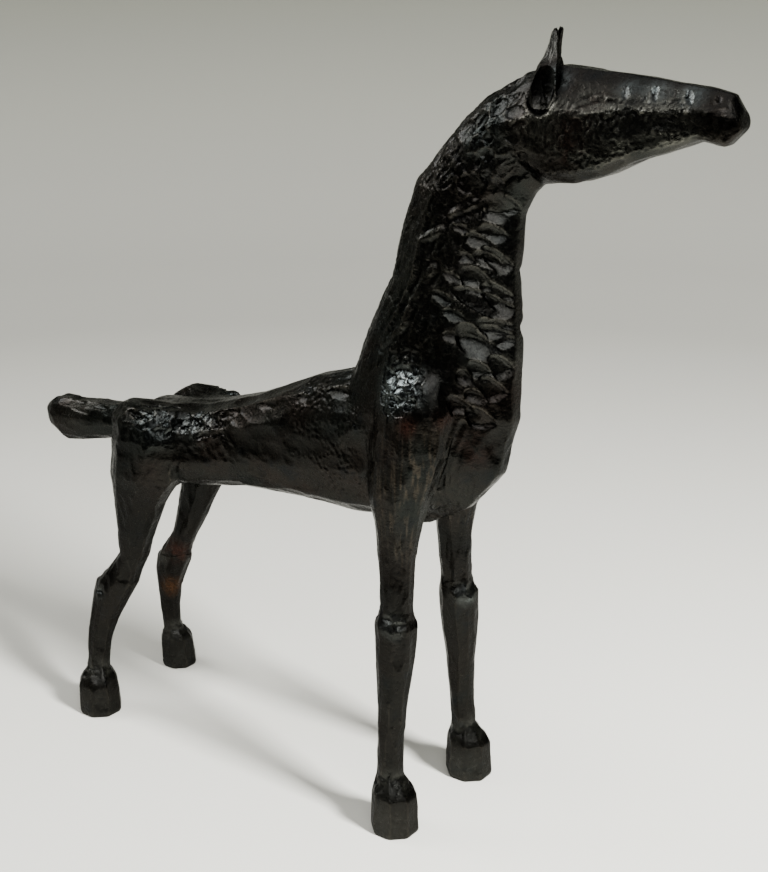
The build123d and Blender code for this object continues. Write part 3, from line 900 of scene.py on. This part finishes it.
PATCHES = {  # where the patina differs, and where highlights and shade are painted into it: centre and reach in mm, share, share on the left side
    # with no fourth value, a patch is on one side only
    "warm": [
        ((162, -15, 378), 11, 0.2),
        ((151, -18, 363), 16, 0.5),
        ((80, -41, 226), 9, 0.7),
        ((97, -30, 230), 10, 0.4),
        ((103, -15, 212), 14, 0.4),
        ((-140, 19, 92), 14, 0.6),
        ((-66, -28, 190), 8, 0.7),
        ((90, 30, 226), 20, 0.5),
        ((160, 16, 366), 16, 0.4),
    ],
    "rusty": [
        ((-148, 21, 60), 14, 0.6),
    ],
    # cracked shiny lacquer that is also a painted highlight: lighter bronze where highlights fall on
    # the shoulders, the back's edge, the nape, the nose and the knees
    "crackle_and_highlight": [
        ((71, -34, 242), 19, 1.0, 0.8),
        ((-96, -33, 197), 20, 0.45),
        ((-74, -28, 198), 20, 0.45),
        ((-84, 30, 197), 28, 0.4),
        ((104, -17, 358), 24, 0.15, 0.15),
        ((187, -8, 385), 9, 0.7),
        ((202, -7, 384), 9, 0.7),
        ((174, -9, 385), 7, 0.6),
        ((141, -10, 390), 8, 0.6),
        ((70, -38, 118), 9, 0.5),
        ((75, 24, 115), 9, 0.5),
        ((-152, -32, 79), 9, 0.4),
    ],
    # painted shade: near black in the ear's hollow, low on the head, on the upper legs under the body
    # and on the chest
    "painted_shade": [
        ((133, -15, 385), 11, 1.0, 1.0),
        ((137, -18, 354), 18, 0.35, 0.35),
        ((160, -16, 358), 16, 0.35, 0.35),
        ((184, -13, 363), 14, 0.35, 0.35),
        ((-120, -34, 180), 18, 0.8),
        ((-128, -32, 140), 46, 0.6),
        ((-150, -30, 98), 20, 0.4),
        ((-128, 27, 140), 46, 0.6),
        ((-150, 27, 100), 20, 0.4),
        ((69, -36, 140), 26, 0.45),
        ((71, 28, 146), 30, 0.5),
        ((110, -14, 208), 28, 0.5, 0.5),
        ((95, -27, 205), 18, 0.4),
        ((-76, -33, 182), 12, 0.6),
    ],
    # worn bronze and painted highlight: lighter on the neck cuts, the knees, the hooves' upper slopes,
    # the ear tip and the tail
    "worn": [
        ((113, -7, 322), 20, 0.4, 0.4),
        ((110, -10, 296), 26, 0.5, 0.5),
        ((110, -10, 264), 26, 0.5, 0.5),
        ((134, -7, 402), 9, 0.8),
        ((72, -38, 27), 13, 0.8),
        ((72, 34, 27), 13, 0.8),
        ((-153.5, -38, 26), 13, 0.8),
        ((-160.5, 34, 26), 13, 0.8),
        ((72, -38, 8), 20, 0.4),
        ((72, 34, 8), 20, 0.4),
        ((-153.5, -38, 8), 20, 0.3),
        ((-160.5, 34, 8), 20, 0.3),
        ((71, -36, 118), 10, 0.7),
        ((72, 26, 116), 10, 0.7),
        ((-154, -30, 84), 9, 0.5),
        ((-152, 20, 86), 9, 0.5),
        ((-190, -6, 185), 20, 0.4),
    ],
    # light scoring on the head and neck that paints highlights on the ridges of the cuts
    "scoring_and_highlight": [
        ((192, -12, 372), 22, 1.0, 1.0),
        ((165, -16, 368), 24, 1.0, 1.0),
        ((138, -18, 368), 20, 0.8),
        ((84, -22, 300), 46, 0.2, 0.2),
    ],
    "streaked": [
        ((76, -38, 205), 34, 1.0),
        ((70, -37, 165), 28, 0.7),
        ((76, 36, 205), 34, 1.0),
        ((70, 35, 165), 28, 0.7),
    ],
}


def keep_patches(piece):
    """Stores, from 0 to 1, how much each point has of each patch: red, rusty and streaked patina,
    cracked lacquer and worn bronze that also paint highlights, light scoring that paints highlights on
    ridges, and painted shade.
    """
    points = points_of(piece.data) / MM
    for name, patches in PATCHES.items():
        amount = np.zeros(len(points))
        for centre, reach, *shares in patches:
            for place, share in zip((centre, mirrored(centre)), shares):
                far = np.linalg.norm(points - np.array(place), axis=1)
                amount = np.maximum(amount, share * (1 - soft_step(far, 0.2 * reach, reach)))
        attribute = piece.data.attributes.new(name, "FLOAT", "POINT")
        attribute.data.foreach_set("value", amount.astype(np.float32))


def patina():
    """Cast bronze under a dark chemical patina and wax: nearly black, with a broken grey gloss."""
    name = "Waxed dark bronze patina"
    if name in bpy.data.materials:
        return bpy.data.materials[name]
    material = bpy.data.materials.new(name)
    material.use_nodes = True
    tree = material.node_tree
    tree.nodes.clear()
    place = add_node(tree, "ShaderNodeTexCoord").outputs["Object"]

    def noise_at(scale, detail, roughness):
        values = {"Scale": scale, "Detail": detail, "Roughness": roughness}
        return add_node(tree, "ShaderNodeTexNoise", values, {"Vector": place}).outputs["Fac"]

    def ranged(value, low, high, to_low, to_high):
        values = {"From Min": low, "From Max": high, "To Min": to_low, "To Max": to_high}
        return add_node(tree, "ShaderNodeMapRange", values, {"Value": value}).outputs["Result"]

    def times(a, b):
        node = add_node(tree, "ShaderNodeMath", None, {0: a, 1: b}, operation="MULTIPLY")
        return node.outputs["Value"]

    def shade(name):
        return (*getattr(settings("patina"), name), 1.0)

    def mixed(factor, a, b):
        node = add_node(tree, "ShaderNodeMix", {7: b}, {0: factor, 6: a}, data_type="RGBA")
        return node.outputs[2]

    def stored(attribute):
        return add_node(tree, "ShaderNodeAttribute", attribute_name=attribute).outputs["Fac"]

    def bump(height, distance, strength, normal=None):
        links = {"Height": height} if normal is None else {"Height": height, "Normal": normal}
        node = add_node(tree, "ShaderNodeBump", {"Distance": distance * MM}, links)
        if isinstance(strength, float):
            node.inputs["Strength"].default_value = strength
        else:
            tree.links.new(strength, node.inputs["Strength"])
        return node.outputs["Normal"]

    # Scales are per metre: 30 makes clouds of about 33 mm, 85 blotches of 12 mm, 380 a grain of
    # 2.6 mm, 1500 pits of 0.7 mm, 520 runs 2 mm wide, and 190 cells of cracked lacquer of 5 mm.
    broad = noise_at(30.0, 5.0, 0.55)
    blotch = noise_at(85.0, 5.0, 0.6)
    grain = noise_at(380.0, 5.0, 0.62)
    pits = noise_at(1500.0, 3.0, 0.6)
    drawn = add_node(tree, "ShaderNodeMapping", {"Scale": (1.0, 1.0, 0.07)}, {"Vector": place})
    drawn = {"Vector": drawn.outputs["Vector"]}
    runs = add_node(tree, "ShaderNodeTexNoise", {"Scale": 520.0, "Detail": 3.0}, drawn)
    streaks = runs.outputs["Fac"]
    cells = add_node(
        tree,
        "ShaderNodeTexVoronoi",
        {"Scale": 190.0},
        {"Vector": place},
        feature="DISTANCE_TO_EDGE",
    )
    cracks = ranged(cells.outputs["Distance"], 0.0, 0.12, 0.0, 1.0)
    height = add_node(tree, "ShaderNodeSeparateXYZ", None, {0: place}).outputs["Z"]
    legs = ranged(height, 0.17, 0.11, 0.0, 1.0)
    relief = stored("relief")

    # From the patina's two tones to the places where it is thin, thick, worn or in a hollow, then
    # painted highlights on the ridges, the lacquer and the worn spots, and painted shade last.
    tone = add_node(tree, "ShaderNodeValToRGB", None, {"Fac": broad})
    ramp = tone.color_ramp
    ramp.elements[0].position, ramp.elements[0].color = 0.38, shade("cool")
    ramp.elements[1].position, ramp.elements[1].color = 0.66, shade("warm")
    colour = tone.outputs["Color"]
    colour = mixed(times(legs, ranged(blotch, 0.35, 0.6, 1.0, 0.6)), colour, shade("legs"))
    colour = mixed(ranged(blotch, 0.56, 0.7, 0.0, 0.6), colour, linear("#121517"))
    colour = mixed(times(stored("warm"), ranged(blotch, 0.40, 0.56, 0.0, 0.7)), colour, shade("red"))
    share = times(stored("rusty"), ranged(grain, 0.3, 0.6, 0.9, 0.3))
    colour = mixed(share, colour, shade("rusty"))
    share = times(stored("streaked"), ranged(streaks, 0.52, 0.64, 0.0, 0.5))
    colour = mixed(share, colour, linear("#443d34"))
    # cracked lacquer and painted highlight: lighter bronze in these patches
    share = times(stored("crackle_and_highlight"), ranged(grain, 0.3, 0.6, 0.9, 0.3))
    colour = mixed(share, colour, shade("cracked"))
    # scoring and painted highlight: the ridges of the head's fine cuts lighter
    share = times(stored("scoring_and_highlight"), ranged(relief, -0.3, 0.5, 0.0, 0.75))
    colour = mixed(share, colour, linear("#5c5c55"))
    # rubbed edges and painted highlight: the ridges lighter
    colour = mixed(ranged(relief, 0.3, 1.0, 0.0, 0.22), colour, linear("#56524a"))
    colour = mixed(ranged(relief, -0.2, -1.0, 0.0, 0.6), colour, linear("#0a0a09"))
    # worn bronze that also paints highlights
    share = times(stored("worn"), ranged(grain, 0.3, 0.6, 0.7, 0.4))
    colour = mixed(share, colour, shade("worn"))
    # painted shade: the bronze turns near black in these patches
    colour = mixed(stored("painted_shade"), colour, linear("#0b0b0a"))

    rough = ranged(grain, 0.35, 0.65, 0.16, 0.34)
    dull = {0: legs, 2: rough}
    dull = add_node(tree, "ShaderNodeMath", {1: 0.08}, dull, operation="MULTIPLY_ADD").outputs[0]
    normal = bump(grain, 1.2, ranged(stored("crackle_and_highlight"), 0.0, 1.0, 0.55, 0.15))
    normal = bump(pits, 0.2, 0.4, normal)
    normal = bump(cracks, 0.16, stored("crackle_and_highlight"), normal)
    shader = add_node(
        tree,
        "ShaderNodeBsdfPrincipled",
        {
            "Metallic": 1.0,
            "Specular Tint": (0.5, 0.5, 0.5, 1),
            "Coat Weight": 0.08,  # the wax
            "Coat Roughness": 0.2,
        },
        {"Base Color": colour, "Roughness": dull, "Normal": normal},
    )
    add_node(tree, "ShaderNodeOutputMaterial", None, {"Surface": shader.outputs["BSDF"]})
    return material


def raw_bronze():
    """Turned bronze without a patina: warm yellow-brown, with fine marks left by the tool."""
    material = bpy.data.materials.new("Turned raw bronze")
    material.use_nodes = True
    tree = material.node_tree
    tree.nodes.clear()
    place = add_node(tree, "ShaderNodeTexCoord").outputs["Object"]
    place = {"Vector": place}
    marks = add_node(tree, "ShaderNodeTexNoise", {"Scale": 900.0, "Detail": 2.0}, place)  # 1 mm
    cloud = add_node(tree, "ShaderNodeTexNoise", {"Scale": 120.0, "Detail": 3.0}, place)  # 8 mm
    tones = {6: linear("#b08a5a"), 7: linear("#8f6a3e")}
    tone = add_node(tree, "ShaderNodeMix", tones, {0: cloud.outputs["Fac"]}, data_type="RGBA")
    depth = {"Distance": 0.05 * MM, "Strength": 0.5}
    normal = add_node(tree, "ShaderNodeBump", depth, {"Height": marks.outputs["Fac"]})
    shader = add_node(
        tree,
        "ShaderNodeBsdfPrincipled",
        {"Metallic": 1.0, "Roughness": 0.35},
        {"Base Color": tone.outputs[2], "Normal": normal.outputs["Normal"]},
    )
    add_node(tree, "ShaderNodeOutputMaterial", None, {"Surface": shader.outputs["BSDF"]})
    return material


class HORSE_OT_joints(bpy.types.Operator):
    """Gives the pins and plugs inside the joints their raw bronze"""

    bl_idname = "bronze_horse.joints"
    bl_label = "Pins and Plugs"

    def execute(self, context):
        metal = raw_bronze()
        for name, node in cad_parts.items():
            if name not in CASTINGS + EARS:
                for place in node.material_slots:
                    place.material = metal
        return {"FINISHED"}


# ---- Stage --------------------------------------------------------------------------------------
CAMERA_AZIMUTH = math.radians(36.468)
CAMERA_ELEVATION = math.radians(16.973)
CAMERA_DISTANCE = 0.734481
CAMERA_TARGET = Vector((0.037458, 0, 0.203741))
CAMERA_LENS = 57.798
NEAR_WAY = Vector((0.594, -0.804))  # from the horse to the camera, seen from above
SWEEP = (  # radius and height of each ring of the paper around the floor
    (0.8, 0.0),
    (1.2, 0.0),
    (1.5, 0.03),
    (1.75, 0.14),
    (1.9, 0.35),
    (1.95, 0.7),
    (1.95, 1.6),
)
LAMPS = (  # name, place, what it points at, size, share of the power, whether the gloss shows it
    ("overhead_light", (0.1, 0.0, 1.45), (0.05, 0, 0.2), (1.4, 1.4), 0.95, True),
    ("key_light", (1.04, -0.13, 0.86), (0.02, 0, 0.2), (0.24, 0.24), 12, False),
    ("front_light", (0.58, -0.66, 1.06), (0.05, 0, 0.25), (0.62, 0.45), 0.8, True),
    ("strip_light", (0.66, -0.89, 1.1), (0.05, 0, 0.15), (1.8, 0.5), 0.28, True),
    ("left_light", (-0.74, -0.25, 0.98), (0.08, 0, 0.3), (0.45, 0.45), 1.15, True),
)


def area_light(name, place, target, size, power):
    """Adds a square-cornered lamp at a place, turned to a target."""
    light = bpy.data.lights.new(name, "AREA")
    light.shape = "RECTANGLE"
    light.size, light.size_y = size
    light.energy = power
    lamp = bpy.data.objects.new(name, light)
    bpy.context.scene.collection.objects.link(lamp)
    lamp.location = place
    lamp.rotation_euler = (Vector(target) - Vector(place)).to_track_quat("-Z", "Y").to_euler()
    return lamp


def floor_material():
    """Paper rolled down from behind: pale, without gloss, and darker high up, a painted shade where
    less light gets.
    """
    material = bpy.data.materials.new("Matt pale studio paper")
    material.use_nodes = True
    tree = material.node_tree
    shader = tree.nodes["Principled BSDF"]
    shader.inputs["Roughness"].default_value = 0.8
    place = add_node(tree, "ShaderNodeTexCoord").outputs["Object"]
    height = add_node(tree, "ShaderNodeSeparateXYZ", None, {0: place}).outputs["Z"]
    rise = {"From Min": 0.02, "From Max": 0.45}
    share = add_node(tree, "ShaderNodeMapRange", rise, {"Value": height}).outputs["Result"]
    tones = {6: (*settings("stage").floor, 1.0), 7: (*settings("stage").backdrop, 1.0)}
    tone = add_node(tree, "ShaderNodeMix", tones, {0: share}, data_type="RGBA")
    tree.links.new(tone.outputs[2], shader.inputs["Base Color"])
    return material


class HORSE_OT_stage(bpy.types.Operator):
    """Adds the pale floor, the soft lights and the camera"""

    bl_idname = "bronze_horse.stage"
    bl_label = "Stage"

    def execute(self, context):
        deselect()
        radius = settings("stage").floor_radius
        bpy.ops.mesh.primitive_circle_add(vertices=96, radius=radius, fill_type="TRIFAN")
        floor = context.active_object
        floor.name = "studio_floor"
        bpy.ops.mesh.primitive_circle_add(vertices=96, radius=radius)
        sweep = context.active_object
        sweep.name = "studio_sweep"
        bpy.ops.object.mode_set(mode="EDIT")
        bpy.ops.mesh.select_mode(type="VERT")
        bpy.ops.mesh.select_all(action="SELECT")
        rings = [(radius, 0.0), *SWEEP]
        for (r0, z0), (r1, z1) in zip(rings, rings[1:]):
            bpy.ops.mesh.extrude_region_move(TRANSFORM_OT_translate={"value": (0, 0, z1 - z0)})
            bpy.ops.transform.resize(value=(r1 / r0, r1 / r0, 1), center_override=(0, 0, 0))
        bpy.ops.object.mode_set(mode="OBJECT")
        bpy.ops.object.shade_smooth()
        in_front = [face.center.to_2d() @ NEAR_WAY > 0.2 for face in sweep.data.polygons]
        sweep.data.polygons.foreach_set("select", in_front)
        bpy.ops.object.mode_set(mode="EDIT")
        bpy.ops.mesh.select_mode(type="FACE")
        bpy.ops.mesh.separate(type="SELECTED")
        bpy.ops.object.mode_set(mode="OBJECT")
        near = next(piece for piece in context.selected_objects if piece is not sweep)
        near.name = "studio_sweep_near"
        near.visible_glossy = False  # the paper's near half would veil the dark bronze
        paper = floor_material()
        for sheet in (floor, sweep, near):
            sheet.data.materials.append(paper)
        for name, place, target, size, share, glossy in LAMPS:
            power = settings("stage").light_power * share
            area_light(name, place, target, size, power).visible_glossy = glossy
        world = bpy.data.worlds.new("Studio")
        bpy.context.scene.world = world
        world.use_nodes = True
        sky = world.node_tree.nodes["Background"]
        sky.inputs["Color"].default_value = (0.8, 0.8, 0.78, 1)
        sky.inputs["Strength"].default_value = 0.05
        camera = bpy.data.cameras.new("Camera")
        camera.sensor_fit = "VERTICAL"
        camera.sensor_height = 36
        camera.lens = CAMERA_LENS
        camera.clip_start = 0.01
        eye = bpy.data.objects.new("Camera", camera)
        bpy.context.scene.collection.objects.link(eye)
        flat = math.cos(CAMERA_ELEVATION)
        x, y = math.sin(CAMERA_AZIMUTH) * flat, -math.cos(CAMERA_AZIMUTH) * flat
        back = Vector((x, y, math.sin(CAMERA_ELEVATION)))
        eye.location = CAMERA_TARGET + back * CAMERA_DISTANCE
        eye.rotation_euler = back.to_track_quat("Z", "Y").to_euler()
        context.scene.camera = eye
        return {"FINISHED"}


class HORSE_PT_panel(bpy.types.Panel):
    """Lists the steps in order"""

    bl_label = "Bronze Horse"
    bl_idname = "HORSE_PT_panel"
    bl_space_type = "VIEW_3D"
    bl_region_type = "UI"
    bl_category = "Bronze Horse"

    def draw(self, context):
        for kind in OPERATORS:
            self.layout.operator(kind.bl_idname)


OPERATORS = (
    HORSE_OT_skin,
    HORSE_OT_neck_and_head,
    HORSE_OT_legs,
    HORSE_OT_torso_and_tail,
    HORSE_OT_ears,
    HORSE_OT_joints,
    HORSE_OT_stage,
)
GROUPS = {"casting": CastingSettings, "patina": PatinaSettings, "stage": StageSettings}


def register():
    """Registers the settings, the steps and the panel."""
    for kind in (*GROUPS.values(), *OPERATORS, HORSE_PT_panel):
        bpy.utils.register_class(kind)
    for name, kind in GROUPS.items():
        setattr(bpy.types.Scene, "bronze_horse_" + name, PointerProperty(type=kind))


def unregister():
    """Takes the panel, the steps and the settings away."""
    for name in GROUPS:
        delattr(bpy.types.Scene, "bronze_horse_" + name)
    for kind in (HORSE_PT_panel, *reversed(OPERATORS), *reversed(list(GROUPS.values()))):
        bpy.utils.unregister_class(kind)


def main():
    """Runs the steps in order."""
    register()
    for kind in OPERATORS:
        group, step = kind.bl_idname.split(".")
        getattr(getattr(bpy.ops, group), step)()


if __name__ == "__main__":
    main()
